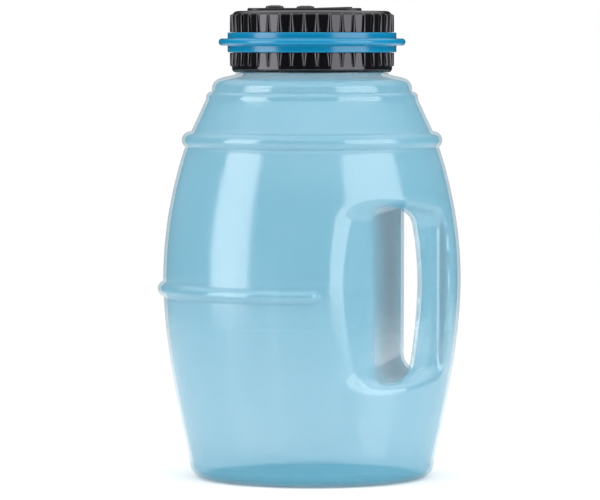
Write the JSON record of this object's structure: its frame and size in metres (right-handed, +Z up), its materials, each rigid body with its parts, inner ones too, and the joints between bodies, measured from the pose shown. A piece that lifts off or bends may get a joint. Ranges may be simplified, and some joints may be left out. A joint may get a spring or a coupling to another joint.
{
  "type": "coin counting jar",
  "caption": "Barrel-shaped see-through coin jar with a hollow moulded grip and a ribbed screw lid that holds a coin slot, coin-sizing lever, display, buttons and batteries.",
  "frame": {"origin": "centre of the base ring, on the surface the jar stands on", "axes": "+Z up along the jar's axis, +X towards the moulded grip"},
  "size_m": [0.154, 0.1568, 0.2391],
  "materials": {
    "jar_plastic": "translucent light blue, smooth blown surface",
    "lid_black": "glossy black moulded",
    "ring_blue": "glossy blue moulded",
    "seal_rubber": "soft satin white",
    "window_clear": "clear polished",
    "display_glass": "grey-green display glass",
    "white_plastic": "satin white",
    "grey_plastic": "satin grey",
    "zebra_rubber": "layered pink and black",
    "board_green": "green solder resist",
    "chip_resin": "glossy black resin",
    "switch_white": "white switch body",
    "steel": "zinc plated",
    "bronze": "springy bronze sheet",
    "cell_sleeve": "printed sleeve with bare metal ends",
    "wire_red": "red insulation",
    "wire_black": "black insulation"
  },
  "bodies": {
    "jar": {"jar_body": "jar_plastic"},
    "seal": {"lid_seal": "seal_rubber"},
    "lid": {"lid_lower_housing": "lid_black", "lid_trim_ring": "ring_blue", "lid_top_housing": "lid_black", "coin_slot_bezel": "lid_black", "coin_chute": "grey_plastic", "lever_pin": "steel", "lever_spring": "steel", "lcd_window": "window_clear", "lcd_frame": "white_plastic", "lcd_panel": "display_glass", "zebra_strip": "zebra_rubber", "circuit_board": "board_green", "controller_chip": "chip_resin", "tact_switches": "switch_white", "board_screws": "steel", "battery_left": "cell_sleeve", "battery_right": "cell_sleeve", "contact_link": "steel", "contact_negative": "steel", "contact_positive": "steel", "battery_wire_red": "wire_red", "battery_wire_black": "wire_black", "housing_screws": "steel"},
    "left_button": {"left_button": "lid_black"},
    "right_button": {"right_button": "lid_black"},
    "lever": {"coin_lever": "white_plastic", "lever_wiper": "bronze"},
    "door": {"battery_door": "lid_black", "battery_door_screw": "steel"}
  },
  "joints": [
    {"name": "lid_rise", "type": "slide", "parent": "jar", "child": "seal", "axis": [0, 0, 1], "range_m": [0, 0.00601]},
    {"name": "lid_unscrew", "type": "hinge", "parent": "seal", "child": "lid", "pos_m": [0, 0, 0.22], "axis": [0, 0, 1], "range_deg": [0, 540]},
    {"name": "left_button_press", "type": "slide", "parent": "lid", "child": "left_button", "axis": [0, 0, -1], "range_m": [0, 0.0007], "stiffness_N_per_m": 600, "springref_m": -0.0006},
    {"name": "right_button_press", "type": "slide", "parent": "lid", "child": "right_button", "axis": [0, 0, -1], "range_m": [0, 0.0007], "stiffness_N_per_m": 600, "springref_m": -0.0006},
    {"name": "coin_lever_swing", "type": "hinge", "parent": "lid", "child": "lever", "pos_m": [-0.0127, 0.00578, 0.2263], "axis": [0, 0, 1], "range_deg": [0, 40], "stiffness_Nm_per_rad": 0.002, "springref_deg": -20.05},
    {"name": "battery_door_off", "type": "slide", "parent": "lid", "child": "door", "axis": [0, 0, -1], "range_m": [0, 0.03]}
  ],
  "couplings": [
    {"joint": "lid_rise", "follows": "lid_unscrew", "m_per_rad": 0.00063662}
  ]
}
